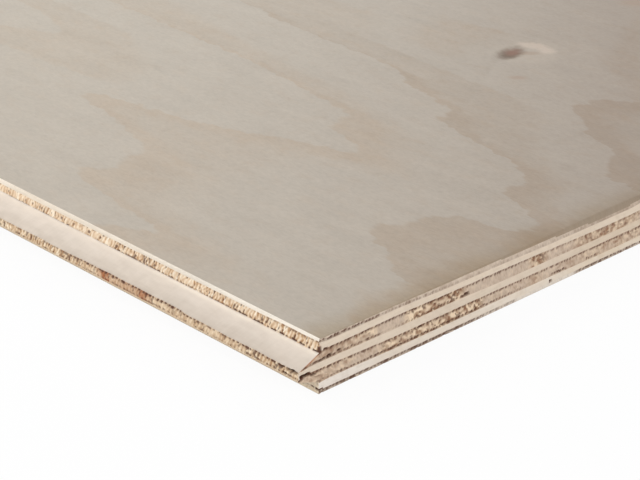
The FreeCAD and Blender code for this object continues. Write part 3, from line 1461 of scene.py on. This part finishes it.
@dataclass
class Ply:
    """One veneer of the sheet, with its two milled edges and two sawn ends carved.

    number counts the plies from the face, so that glue line number is the joint above the veneer.
    open_end and open_edge are how open the wood is along the ends and along the milled edges.
    stains are (start, stop, strength) and breaks are places along the tongue, in millimetres. The
    sides have close columns, fine_pitch apart, up to fine_run from the near tongue corner.
    """

    node: str
    slot: str
    grain: Grain
    number: int
    open_end: Along = CALM
    open_edge: Along = CALM
    stains: tuple[tuple[float, float, float], ...] = ()
    torn_edges: bool = False
    breaks: tuple[float, ...] = ()
    row_height: float = 0.26 * MM
    fine_pitch: float = 0.2 * MM
    coarse_pitch: float = 8.0 * MM
    fine_run: float = 165 * MM
    milled_reach: float = 40 * MM
    border: float = 8 * MM
    bowl_radius: float = 14 * MM

    def build(self, outline: MilledOutline) -> bpy.types.Object:
        """Model the veneer.

        Args:
            outline: the milled long edges.

        Returns:
            The new piece.
        """
        low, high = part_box(self.node)
        left, right = outline.tongue[0, 1], outline.groove[0, 1]
        self.slab = Slab(left, right, low.y, high.y, low.z, high.z)
        mesh = self._blank(outline)
        self._sort_faces(mesh)
        self._carve(mesh, outline)
        mesh.set_sharp_from_angle(angle=math.radians(62))
        piece = bpy.data.objects.new(f"{self.node}_carved", mesh)
        bpy.context.scene.collection.objects.link(piece)
        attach(piece, "root")
        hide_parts(self.node)
        return piece

    # The uncarved slab

    def _levels(self, outline: MilledOutline) -> list[float]:
        """Heights of the rows: evenly spaced, but with a row at every bend of the milled outline.

        Args:
            outline: the milled long edges.

        Returns:
            The heights, from the veneer's underside to its top.
        """
        bottom, top = self.slab.bottom, self.slab.top
        off_bend, off_joint, least = 0.1 * MM, 0.05 * MM, 0.02 * MM
        count = max(2, math.ceil((top - bottom) / self.row_height))
        bends = outline.bends(bottom + least, top - least)
        even = np.linspace(bottom, top, count + 1)
        kept = [z for z in even if all(abs(z - bend) > off_bend for bend in bends)]
        inner = [z for z in kept if bottom + off_joint < z < top - off_joint]
        return sorted({bottom, top, *inner, *bends})

    def _blank(self, outline: MilledOutline) -> bpy.types.Mesh:
        """Make a plain slab, with its four sides divided into columns and rows.

        Args:
            outline: the milled long edges.

        Returns:
            The slab.
        """
        slab = self.slab
        plan = (
            (slab.left, slab.near, self.fine_pitch),
            (slab.left + self.fine_run, slab.near, self.coarse_pitch),
            (slab.right, slab.near, self.coarse_pitch),
            (slab.right, slab.far, self.coarse_pitch),
            (slab.left, slab.far, self.coarse_pitch),
            (slab.left, slab.near + self.fine_run, self.fine_pitch),
        )
        bm = bmesh.new()
        part_of = bm.edges.layers.int.new("part")
        corners = [bm.verts.new((x, y, slab.bottom)) for x, y, _ in plan]
        for index, corner in enumerate(corners):
            bm.edges.new((corner, corners[(index + 1) % len(corners)]))[part_of] = index
        for index, (_, _, pitch) in enumerate(plan):
            side = [edge for edge in bm.edges if edge[part_of] == index]
            cuts = round(side[0].calc_length() / pitch) - 1
            bmesh.ops.subdivide_edges(bm, edges=side, cuts=cuts)
        top = bmesh.ops.contextual_create(bm, geom=bm.edges[:])["faces"][0]
        levels = self._levels(outline)
        for number, (below, above) in enumerate(zip(levels, levels[1:])):
            made = bmesh.ops.extrude_face_region(bm, geom=[top])["geom"]
            if number:
                bmesh.ops.delete(bm, geom=[top], context="FACES_ONLY")
            risen = [part for part in made if isinstance(part, bmesh.types.BMVert)]
            bmesh.ops.translate(bm, verts=risen, vec=(0, 0, above - below))
            top = next(part for part in made if isinstance(part, bmesh.types.BMFace))
        if self.number == 0:
            self._sink_bowl(bm, self._lay_border(bm, top))
        bmesh.ops.recalc_face_normals(bm, faces=bm.faces[:])
        put_in_order(bm)
        mesh = bpy.data.meshes.new(f"{self.node}_carved")
        bm.to_mesh(mesh)
        bm.free()
        return mesh

    def _lay_border(self, bm: bmesh.types.BMesh, top: bmesh.types.BMFace) -> list[bmesh.types.BMEdge]:
        """Take the broad face away and lay a border just inside its rim.

        Args:
            bm: the slab.
            top: its upper face.

        Returns:
            The four edges round the opening that is left.
        """
        slab, border = self.slab, self.border
        top.normal_update()
        rim, rim_edges = list(top.verts), list(top.edges)
        if top.normal.z < 0:
            rim.reverse()
        middle = Vector(((slab.left + slab.right) / 2, (slab.near + slab.far) / 2, slab.top))
        bmesh.ops.delete(bm, geom=[top], context="FACES_ONLY")
        made = set(bmesh.ops.extrude_edge_only(bm, edges=rim_edges)["geom"])
        partner = {v: next(e.other_vert(v) for e in v.link_edges if e.other_vert(v) in made) for v in rim}
        shrink = (1 - border * 2 / (slab.right - slab.left), 1 - border * 2 / (slab.far - slab.near), 1)
        bmesh.ops.scale(bm, verts=list(partner.values()), vec=shrink, space=Matrix.Translation(-middle))
        left, right = slab.left + border * 2, slab.right - border * 2
        near, far = slab.near + border * 2, slab.far - border * 2
        corners = ((left, near), (right, near), (right, far), (left, far))
        inner = [bm.verts.new((x, y, slab.top)) for x, y in corners]
        for first, second in zip(rim, rim[1:] + rim[:1]):
            side, starts = self._side_of(first.co, second.co)
            bm.faces.new((partner[first], partner[second], inner[(side + 1) % 4]))
            if starts:
                bm.faces.new((partner[first], inner[(side + 1) % 4], inner[side]))
        return [bm.edges.get((inner[side], inner[(side + 1) % 4])) for side in range(4)]

    def _sink_bowl(self, bm: bmesh.types.BMesh, opening: list[bmesh.types.BMEdge]) -> None:
        """Fill the opening, with rings of faces close enough for the bed of the fallen-out knot.

        Args:
            bm: the slab.
            opening: the edges round the opening.
        """
        centre = Vector((self.slab.left + KNOT_BED.across, self.slab.near + KNOT_BED.along, self.slab.top))
        circle = bmesh.ops.create_circle(
            bm, segments=56, radius=self.bowl_radius, cap_ends=False, matrix=Matrix.Translation(centre)
        )["verts"]
        loop = list({edge for vert in circle for edge in vert.link_edges})
        bmesh.ops.triangle_fill(bm, edges=opening + loop, use_beauty=False, use_dissolve=False)
        radii = np.linspace(1.0, 0.06, 24)
        for shrink in radii[1:] / radii[:-1]:
            made = bmesh.ops.extrude_edge_only(bm, edges=loop)["geom"]
            loop = [part for part in made if isinstance(part, bmesh.types.BMEdge)]
            ring = [part for part in made if isinstance(part, bmesh.types.BMVert)]
            bmesh.ops.scale(bm, verts=ring, vec=(shrink, shrink, 1), space=Matrix.Translation(-centre))
        bmesh.ops.contextual_create(bm, geom=loop)

    def _side_of(self, first: Vector, second: Vector) -> tuple[int, bool]:
        """Which side of the rim two neighbouring corners lie on, and whether the first is where it starts.

        Args:
            first: the first corner, anticlockwise.
            second: the next one.

        Returns:
            0 for the near end, 1 for the groove, 2 for the far end and 3 for the tongue, and whether
            the side starts at the first corner.
        """
        slab = self.slab
        off_first, off_second = (
            (abs(at.y - slab.near), abs(at.x - slab.right), abs(at.y - slab.far), abs(at.x - slab.left))
            for at in (first, second)
        )
        side = next(number for number in range(4) if max(off_first[number], off_second[number]) < TINY)
        return side, off_first[side - 1] < TINY

    def _sort_faces(self, mesh: bpy.types.Mesh) -> None:
        """Give broad faces, milled edges and sawn ends their material numbers, and smooth the cut sides.

        The worn arris of the near end counts as part of the broad face.

        Args:
            mesh: the slab.
        """
        slab, count = self.slab, len(mesh.polygons)
        normals, sides = np.empty(count * 3), np.empty(count, np.int32)
        mesh.polygons.foreach_get("normal", normals)
        mesh.polygons.foreach_get("loop_total", sides)
        _, ny, nz = np.abs(normals.reshape(-1, 3)).T
        index = np.where(nz > 0.5, 0, np.where(ny > 0.5, 2, 1)).astype(np.int32)
        smooth = index > 0
        if self.number == 0:
            centres = np.empty(count * 3)
            mesh.polygons.foreach_get("center", centres)
            x, y, z = centres.reshape(-1, 3).T
            radius = np.interp((x - slab.left) / MM, *np.array(END_ARRIS).T)
            worn = (y < slab.near + 0.1 * MM) & (slab.top - z < 0.75 * radius * MM)
            index = np.where(worn, 0, index).astype(np.int32)
            off_x, off_y = x - slab.left - KNOT_BED.across, y - slab.near - KNOT_BED.along
            smooth |= (sides == 4) & (np.hypot(off_x, off_y) < self.bowl_radius + 1 * MM)
        mesh.polygons.foreach_set("material_index", index)
        mesh.polygons.foreach_set("use_smooth", smooth)

    # Carving

    def _carve(self, mesh: bpy.types.Mesh, outline: MilledOutline) -> None:
        """Give the slab its milled outline, the relief of its cut sides and the numbers for the finishes.

        Args:
            mesh: the slab.
            outline: the milled long edges.
        """
        slab, spots = self.slab, Spots(mesh, self.slab)
        x, y, z = spots.x, spots.y, spots.z
        above, below = self._drift(self.number, spots), self._drift(self.number + 1, spots)
        moved_z = z + (below * (1 - spots.share) + above * spots.share) * MM
        left, right = outline.tongue_x(moved_z), outline.groove_x(moved_z)
        moved_x = x + (left - slab.left) * np.clip(1 - (x - slab.left) / self.milled_reach, 0, 1)
        moved_x += (right - slab.right) * np.clip(1 - (slab.right - x) / self.milled_reach, 0, 1)
        end_run = np.where(spots.on_near_end, (moved_x - slab.left) / MM, spots.across)
        under = (slab.top + above * MM - moved_z) / MM
        over = (moved_z - slab.bottom - below * MM) / MM
        height = (moved_z - BACK_Z) / MM

        on_edges = CutMap(Cut.EDGES, spots.along, under, over, height, spots.on_tongue)
        on_ends = CutMap(Cut.ENDS, end_run, under, over, height, spots.on_near_end)
        edge, end = self._tear(on_edges, self.open_edge), self._tear(on_ends, self.open_end)
        push_x, push_y = self._inset(spots, edge.depth, end.depth)
        moved_x += np.where(x < 0, push_x, -push_x) * MM
        moved_y = y + np.where(spots.on_near_end, push_y, -push_y) * MM
        if self.number == 0:
            moved_z -= self._knot_depth(spots) * MM
        mesh.vertices.foreach_set("co", np.stack([moved_x, moved_y, moved_z], 1).ravel())

        browned = self._browned_arris(spots, FACE_Z / MM - height)
        takes_edge = spots.on_edge & ~(spots.on_end & (spots.from_edge > 0.01))
        for relief in (edge, end):
            relief.stain = np.maximum(relief.stain, browned)
        for name in STORED:
            stored = np.where(takes_edge, getattr(edge, name), getattr(end, name))
            mesh.attributes.new(name, "FLOAT", "POINT").data.foreach_set("value", stored.astype(np.float32))
        mesh.update()

    def _drift(self, number: int, spots: Spots) -> np.ndarray:
        """How far a joint lies above its nominal level round the sheet, in millimetres.

        Args:
            number: which glue line.
            spots: the veneer's vertices.

        Returns:
            The drift at each vertex.
        """
        line, seed = GLUE_LINES[number], number * 7
        if line is None:
            return spots.across * 0
        ends = line.drift.at(spots.across, spots.on_near_end, seed, 3)
        edges = line.edge_drift.at(spots.along, spots.on_tongue, seed + 5)
        edges += 0.12 * (line_noise(spots.along / 6.0, seed + 7) - 0.5)
        share = smooth_step(0.0, 3.0, spots.from_edge)
        return ends * share + edges * (1 - share)

    def _inset(
        self, spots: Spots, edge_depth: np.ndarray, end_depth: np.ndarray
    ) -> tuple[np.ndarray, np.ndarray]:
        """How far each vertex is pushed into the sheet by its pits and by the worn arrises.

        Args:
            spots: the veneer's vertices.
            edge_depth: relief of the milled edges, in millimetres.
            end_depth: relief of the sawn ends.

        Returns:
            The distances across and along the sheet, in millimetres.
        """
        fade_in, worn_run = 0.6, 3
        push_x = np.where(spots.on_edge, edge_depth * smooth_step(0.0, fade_in, spots.from_end), 0)
        push_y = np.where(spots.on_end, end_depth * smooth_step(0.0, fade_in, spots.from_edge), 0)
        over_back, under_face = (spots.z - BACK_Z) / MM, (FACE_Z - spots.z) / MM
        push_x += np.where(spots.on_edge & spots.on_tongue, rounded_off(over_back, BACK_ARRIS), 0)
        push_y += np.where(spots.on_end & spots.on_near_end, rounded_off(over_back, BACK_ARRIS, END_SHARE), 0)
        wear = 0.4 + 0.4 * line_noise(spots.z / MM / 1.1, 5)
        push_x += np.where(spots.on_edge & (spots.along < worn_run), blunted(spots.from_end, wear), 0)
        push_y += np.where(spots.on_end & (spots.across < worn_run), blunted(spots.from_edge, wear), 0)
        radius = np.interp(spots.across, *np.array(END_ARRIS).T)
        push_y += np.where(spots.on_end, rounded_off(under_face, radius), 0)
        return push_x, push_y

    def _browned_arris(self, spots: Spots, depth: np.ndarray) -> np.ndarray:
        """Brown line down the arris between the tongue and the near end.

        Args:
            spots: the veneer's vertices.
            depth: their distance below the face, in millimetres.

        Returns:
            How brown each vertex is.
        """
        if self.number not in (1, 2):
            return depth * 0
        upper = self.number == 1
        where, amount = np.array(ARRIS_BROWN).T
        strength = np.interp(depth, where, amount) * (0.7 + 0.5 * line_noise(depth / 0.8, 83))
        on_end = bell(spots.from_edge, 0.6 if upper else 1.25) * (spots.from_end < 0.01)
        on_edge = bell(spots.from_end, 0.8) * spots.on_edge * upper
        corner = spots.on_near_end & spots.tongue_half
        return np.clip(np.maximum(on_end, on_edge) * strength, 0, 1) * corner

    def _knot_depth(self, spots: Spots) -> np.ndarray:
        """How deep the fallen-out knot is.

        Args:
            spots: the face veneer's vertices.

        Returns:
            The depth at each vertex, in millimetres.
        """
        across, along = spots.x - self.slab.left, spots.y - self.slab.near
        ragged = 0.35 * (lattice_noise(across / MM / 1.7, along / MM / 1.7, 61) - 0.5)
        heart = 1 - smooth_step(0.35, 1.35, KNOT_HEART.ratio(across, along) + ragged)
        bed = 1 - smooth_step(0.7, 1.35, KNOT_BED.ratio(across, along) + ragged)
        return np.where(spots.z > self.slab.top - TINY, 0.75 * heart + 0.35 * bed * (1 - heart), 0)

    # The relief of one pair of cut sides

    def _tear(self, at: CutMap, opened: Along) -> Relief:
        """Relief and stored numbers of one pair of opposite sides.

        Args:
            at: where the vertices lie on it.
            opened: how open the wood is along it.

        Returns:
            The relief.
        """
        relief = self._fibres(at, opened)
        self._tear_joints(at, relief)
        for gap in GAPS:
            if gap.cut is at.cut:
                share = gap.at(at.run, at.height) * at.hand_set
                relief.cavity = np.maximum(relief.cavity, smooth_step(0.1, 0.6, share))
                relief.depth = np.maximum(relief.depth, share * gap.depth)
        if at.cut is Cut.EDGES:
            self._mark_tongue(at, relief)
        elif self.number == 0:
            # Painted shade on the face veneer's end past its rounded arris.
            relief.stroke = relief.stroke - FACE_END_PAINTED_SHADE * smooth_step(104, 120, at.run) * at.hand_set
        relief.cavity = np.clip(relief.cavity, 0, 1)
        return relief

    def _cuts_across(self, cut: Cut) -> bool:
        """Whether that pair of sides shows end grain, or is torn as if it did."""
        ends = cut is Cut.ENDS
        return (self.grain is Grain.LENGTHWISE) == ends or (not ends and self.torn_edges)

    def _fibres(self, at: CutMap, opened: Along) -> Relief:
        """Light and dark fibres, with open pores where the cut crosses the grain.

        Args:
            at: where the vertices lie on the pair of sides.
            opened: how open the wood is along it.

        Returns:
            The relief so far.
        """
        style, across, ends = STYLES[at.cut], self._cuts_across(at.cut), at.cut is Cut.ENDS
        run, over = at.run, at.over
        seed = self.number * 101 + style.seed
        swell = 0.75 + 0.5 * lattice_noise(run / 2.6, over / 1.4, seed + 2)
        open_here = np.clip(opened.at(run, at.hand_set, seed) * swell, 0, 1)
        fine = np.where(at.hand_set, 1 - smooth_step(self.fine_run / MM - 12, self.fine_run / MM, run), 0)

        lean = run + 0.45 * over
        broad = lattice_noise(lean / 1.5, over / 2.4, seed + 4)
        narrow = lattice_noise(lean / 0.55, over / 1.1, seed + 5)
        if ends:
            chunk = smooth_step(0.25, 0.75, lattice_noise(run / 1.15 + broad, over / 0.95, seed + 7)) - 0.5
            speck = lattice_noise(lean / 0.85, over / 0.75, seed + 6)
        else:
            phase = lean / PICKET_PITCH + 0.9 * lattice_noise(lean / 2.4, over / 1.6, seed + 7)
            tone = random_at(np.floor(phase), run * 0, seed + 9)
            chunk = 0.30 * np.cos(phase * 2 * np.pi) + 0.5 * (tone - 0.5)
            chunk += 0.7 * (lattice_noise(lean / 0.9, over / 1.0, seed + 8) - 0.5)
            speck = lattice_noise(lean / 0.62 + 0.5, over / 1.5, seed + 6)
        contrast = (0.2 + 0.8 * open_here) if across else style.calm_contrast + 0 * run
        lines = (broad - 0.5) * style.patchy + (narrow - 0.5) * 0.4 + chunk * 0.85 * open_here * across
        stroke = 0.5 + lines * contrast * fine * FIBRE_STRENGTH
        cavity = smooth_step(0.7, 0.86, speck) * smooth_step(0.35, 0.8, open_here) * 0.8 * across * fine
        depth = (1 - stroke) * FIBRE_DEPTH * contrast * fine + cavity * PORE_DEPTH
        return Relief(depth, cavity, stroke, open_here, run * 0, fine, narrow)

    def _tear_joints(self, at: CutMap, relief: Relief) -> None:
        """Tear a row of pits along the joint above and the joint below, each in a dark smear.

        Args:
            at: where the vertices lie on the pair of sides.
            relief: the relief, which is deepened and darkened.
        """
        style, across, fine = STYLES[at.cut], self._cuts_across(at.cut), relief.fine
        for number, distance in ((self.number, -at.under), (self.number + 1, at.over)):
            line = GLUE_LINES[number]
            if line is None:
                continue
            torn, offset = line.pits(at.cut)
            seed = number * 31 + style.joint_seed
            strength = np.clip(torn.at(at.run, at.hand_set, seed), 0, 1)
            level = distance - offset
            sided = smooth_step(-0.05, 0.15, distance if number > self.number else -distance)
            rough = sided if across else 0.25 * (1 - sided)
            pits = row_of_pits(at.run, level, style.pit_pitch, seed) * smooth_step(0.0, 0.5, strength)
            small = SMALL_PITS * row_of_pits(at.run + 0.4, level, SMALL_PIT_PITCH, seed + 1) * strength
            pits = rough * np.maximum(pits, small)
            smear = bell(level, SMEAR_HEIGHT) * strength * rough
            relief.cavity = np.maximum(relief.cavity, pits * (0.45 + 0.6 * strength) * fine)
            relief.cavity = np.maximum(relief.cavity, smear * (0.18 * fine + 0.34 * (1 - fine)))
            relief.depth = np.maximum(relief.depth, pits * PIT_DEPTH * strength * fine)

    def _mark_tongue(self, at: CutMap, relief: Relief) -> None:
        """Add what the tongue's side alone shows: closed breaks, painted rim highlights, painted corner light
        and stains.

        Args:
            at: where the vertices lie on the milled edges.
            relief: the relief, which is changed.
        """
        run, over, hand_set = at.run, at.over, at.hand_set
        face_level = FACE_Z / MM
        below_face = face_level - at.height
        for place in self.breaks:
            closed = bell(run - place + 0.3 * over, BREAK_WIDTH) * hand_set
            relief.stroke, relief.cavity = relief.stroke + 0.6 * closed, relief.cavity * (1 - closed)
        # Painted highlights along the arrises that catch the light.
        for rim_depth, half, amount in RIM_HIGHLIGHTS:
            rim_highlight = bell(at.height - (face_level - rim_depth), half)
            rim_highlight *= 1 - 0.7 * smooth_step(50, 110, run)
            relief.stroke = relief.stroke + amount * rim_highlight * (1 - self._cuts_across(at.cut)) * hand_set
        # Painted light on the lower shoulder at the corner, which lies in shade under the tongue.
        painted_light_corner = (1 - smooth_step(8, 14, run)) * smooth_step(13.2, 14.4, below_face)
        relief.stroke = relief.stroke + CORNER_PAINTED_LIGHT * painted_light_corner * hand_set
        if self.number == BEVEL_NUMBER:
            relief.stroke = relief.stroke - BEVEL_DARKER * smooth_step(5.2, 8.2, below_face) * hand_set
        for start, stop, amount in self.stains:
            edge = lattice_noise(run / 1.6, over / 1.2, 91) * 1.2
            patch = smooth_step(start - 0.6, start + 0.6, run - edge)
            patch = patch * (1 - smooth_step(stop - 0.6, stop + 0.6, run + edge))
            relief.stain = np.maximum(relief.stain, amount * patch * hand_set * (0.45 + 0.65 * relief.narrow))


@dataclass
class Panel:
    """The whole sheet: seven plies with the grain turned at every glue line."""

    plies: tuple[Ply, ...] = (
        Ply(
            "face_ply", "face_veneer", Grain.LENGTHWISE, 0,
            open_end=Along(
                (
                    (0, 0.55), (18, 0.5), (24, 0.35), (40, 0.4), (60, 0.25), (80, 0.2), (100, 0.1),
                    (150, 0.1),
                ),
                0.3, 0.2,
            ),
            open_edge=Along(((0, 0.0), (40, 0.05), (70, 0.3), (150, 0.45)), 0.3, 0.2),
        ),
        Ply(
            "upper_crossband", "crossband_veneer", Grain.CROSSWISE, 1,
            open_edge=Along(((0, 0.9), (60, 0.85), (90, 0.8), (120, 0.75), (150, 0.75)), 0.6, 0.3),
            breaks=(96.0, 124.0, 142.5),
        ),
        Ply(
            "upper_centre_ply", "centre_veneer", Grain.LENGTHWISE, 2,
            open_end=Along(
                (
                    (0, 0.5), (22, 0.55), (25, 0.12), (34, 0.15), (37, 0.9), (59, 0.9), (62, 0.3),
                    (66, 0.1), (90, 0.12), (93, 0.8), (98, 0.7), (101, 0.15), (111, 0.2), (117, 0.6),
                    (150, 0.6),
                ),
                0.4, 0.3,
            ),
        ),
        Ply(
            "middle_crossband", "crossband_veneer", Grain.CROSSWISE, 3,
            open_end=Along(((0, 0.0), (100, 0.0), (120, 0.35), (150, 0.35)), 0.2, 0.2),
            open_edge=Along(
                ((0, 0.9), (22, 0.8), (28, 0.6), (50, 0.6), (90, 0.65), (110, 0.95), (150, 0.9)),
                0.55, 0.3,
            ),
            stains=((64.0, 92.0, 0.5), (66.0, 71.0, 1.3), (84.5, 89.5, 1.3), (146.0, 400.0, 0.6)),
        ),
        Ply(
            "lower_centre_ply", "centre_veneer", Grain.LENGTHWISE, 4,
            open_end=Along(
                (
                    (-8, 0.6), (12, 0.5), (14, 0.3), (24, 0.3), (27, 0.8), (68, 0.85), (71, 0.3),
                    (90, 0.25), (95, 0.5), (99, 0.25), (110, 0.3), (120, 0.45), (150, 0.45),
                ),
                0.3, 0.3,
            ),
        ),
        Ply(
            "lower_crossband", "crossband_veneer", Grain.CROSSWISE, 5,
            open_end=Along(((0, 0.0), (15, 0.1), (28, 0.5), (100, 0.5), (120, 0.9), (150, 0.9))),
            open_edge=Along(((0, 0.35), (8, 0.5), (150, 0.7)), 0.55, 0.35),
        ),
        Ply(
            "back_ply", "back_veneer", Grain.LENGTHWISE, 6,
            open_end=Along(
                (
                    (0, 0.75), (60, 0.75), (68, 0.5), (72, 0.3), (84, 0.3), (86, 0.0), (113, 0.0),
                    (116, 0.6), (150, 0.6),
                ),
            ),
            open_edge=Along(((0, 0.4), (14, 0.4), (20, 0.3), (150, 0.3)), 0.2, 0.2),
            torn_edges=True,
        ),
    )

    def build(self, outline: MilledOutline) -> None:
        """Build and dress every ply.

        Args:
            outline: the milled long edges.
        """
        corner = (float(outline.tongue[0, 1]), cad_box[0].y)
        face = PeeledVeneer(
            "peeled_face", (0.496, 0.442, 0.376), (0.501, 0.421, 0.339), 3.0, corner, FACE_RINGS
        ).material()
        back = PeeledVeneer(
            "peeled_back",
            (0.56, 0.46, 0.35),
            (0.43, 0.32, 0.215),
            47.0,
            corner,
            knot_size=0.016,
            flame_run=0.11,
            flame_dark=0.04,
        ).material()
        for ply in self.plies:
            piece = ply.build(outline)
            edge, end = (cut.material() for cut in CUTS[ply.node])
            broad = {0: face, 6: back}.get(ply.number, edge)
            for material in (broad, edge, end):
                piece.data.materials.append(material)
            log.info("%s: %d faces", piece.name, len(piece.data.polygons))


# ---------------------------------------------------------------------------------------------
# Studio
# ---------------------------------------------------------------------------------------------


@dataclass(frozen=True)
class SoftBox:
    """A rectangular lamp: where it hangs, what it faces, how large it is and how bright its cloth is.

    along is roughly the way that its long side lies. The places are in metres from the near
    tongue corner.
    """

    name: str
    place: tuple[float, float, float]
    aim: tuple[float, float, float]
    long: float
    short: float
    brightness: float
    along: tuple[float, float, float] = (0.0, 1.0, 0.0)

    def hang(self, corner: Vector) -> None:
        """Hang the lamp, with its places measured from the sheet's near tongue corner.

        Args:
            corner: that corner.
        """
        facing = (Vector(self.aim) - Vector(self.place)).normalized()
        length = Vector(self.along)
        length = (length - facing * length.dot(facing)).normalized()
        turn = Matrix((length, length.cross(facing) * -1, facing * -1)).transposed().to_4x4()
        lamp = bpy.data.lights.new(self.name, "AREA")
        lamp.shape = "RECTANGLE"
        lamp.size, lamp.size_y = self.long, self.short
        lamp.energy = self.brightness * math.pi * self.long * self.short
        hung = bpy.data.objects.new(self.name, lamp)
        hung.matrix_world = Matrix.Translation(corner + Vector(self.place)) @ turn
        hung.visible_camera = False
        bpy.context.scene.collection.objects.link(hung)


@dataclass
class Studio:
    """Plain pale floor, soft light and the camera.

    stand is where the camera stands, in metres from the near tongue corner. ambient is how bright
    the even light is, and backdrop how white it looks. floor_albedo is how pale the floor is, and
    floor_glow the share of plain white in what is seen of it.
    """

    lens: float = 119.5
    heading: float = math.radians(45.6835)
    tilt: float = math.radians(25.5865)
    roll: float = math.radians(0.79)
    stand: tuple[float, float, float] = (-0.3711, -0.3798, 0.2854)
    ambient: float = 0.52
    floor_albedo: float = 0.88
    floor_glow: float = 0.94
    floor_reach: float = 40.0
    backdrop: float = 0.99
    soft_boxes: tuple[SoftBox, ...] = (
        SoftBox("tongue_side", (-0.55, 0.75, 0.60), (0.15, 0.55, 0.0), 1.3, 0.5, 3.7),
        SoftBox("groove_side", (1.90, 1.50, 1.20), (0.80, 1.30, 0.0), 2.2, 0.8, 2.4),
        SoftBox("near_end", (0.10, -1.60, 0.60), (0.10, 0.0, 0.0), 1.8, 0.8, 2.5, (1.0, 0.0, 0.0)),
    )

    def build(self, corner: Vector) -> None:
        """Set up the studio.

        Args:
            corner: the sheet's near tongue corner, at the height of its face.
        """
        self._camera(corner)
        self._floor()
        self._world()
        for soft_box in self.soft_boxes:
            soft_box.hang(corner)
        bpy.context.scene.view_settings.view_transform = "Standard"

    def _camera(self, corner: Vector) -> None:
        """Set up the camera, which looks down over the corner.

        Args:
            corner: the sheet's near tongue corner.
        """
        ahead = Vector(
            (
                math.cos(self.heading) * math.cos(self.tilt),
                math.sin(self.heading) * math.cos(self.tilt),
                -math.sin(self.tilt),
            )
        )
        level = Vector((math.sin(self.heading), -math.cos(self.heading), 0))
        upright = level.cross(ahead)
        right = level * math.cos(self.roll) + upright * math.sin(self.roll)
        up = upright * math.cos(self.roll) - level * math.sin(self.roll)
        camera = bpy.data.cameras.new("camera")
        camera.lens = self.lens
        camera.clip_start = 0.01
        made = bpy.data.objects.new("camera", camera)
        turn = Matrix((right, up, -ahead)).transposed().to_4x4()
        made.matrix_world = Matrix.Translation(corner + Vector(self.stand)) @ turn
        bpy.context.scene.collection.objects.link(made)
        bpy.context.scene.camera = made

    def _floor(self) -> None:
        """Lay the floor: it is lit as pale card, and looks white where no shadow falls."""
        bm = bmesh.new()
        bmesh.ops.create_grid(bm, x_segments=2, y_segments=2, size=self.floor_reach)
        mesh = bpy.data.meshes.new("floor")
        bm.to_mesh(mesh)
        bm.free()
        floor = bpy.data.objects.new("floor", mesh)
        bpy.context.scene.collection.objects.link(floor)
        material = bpy.data.materials.new("floor")
        book = NodeBook(material)
        card = book.node("ShaderNodeBsdfDiffuse", {}, {"Color": (*(self.floor_albedo,) * 3, 1.0)})
        glow = book.node("ShaderNodeEmission", {}, {"Color": (1.0, 1.0, 1.0, 1.0), "Strength": 1.0})
        share = book.seen() * self.floor_glow
        both = book.node("ShaderNodeMixShader", {}, {0: share, 1: card.outputs[0], 2: glow.outputs[0]})
        book.node("ShaderNodeOutputMaterial", {}, {"Surface": both.outputs[0]})
        mesh.materials.append(material)

    def _world(self) -> None:
        """Even light from all round, seen as white."""
        world = bpy.data.worlds.new("studio")
        book = NodeBook(world)
        white = (1.0, 1.0, 1.0, 1.0)
        light = book.node("ShaderNodeBackground", {}, {"Color": white, "Strength": self.ambient})
        backdrop = book.node("ShaderNodeBackground", {}, {"Color": white, "Strength": self.backdrop})
        shaders = {0: book.seen(), 1: light.outputs[0], 2: backdrop.outputs[0]}
        both = book.node("ShaderNodeMixShader", {}, shaders)
        book.node("ShaderNodeOutputWorld", {}, {"Surface": both.outputs[0]})
        bpy.context.scene.world = world


def main() -> None:
    """Build the panel and the studio."""
    logging.basicConfig(level=logging.INFO, format="%(name)s: %(message)s")
    outline = MilledOutline(list(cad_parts.values()))
    Panel().build(outline)
    corner = Vector((outline.tongue[0, 1], cad_box[0].y, cad_box[1].z))
    Studio().build(corner)


if __name__ == "__main__":
    main()
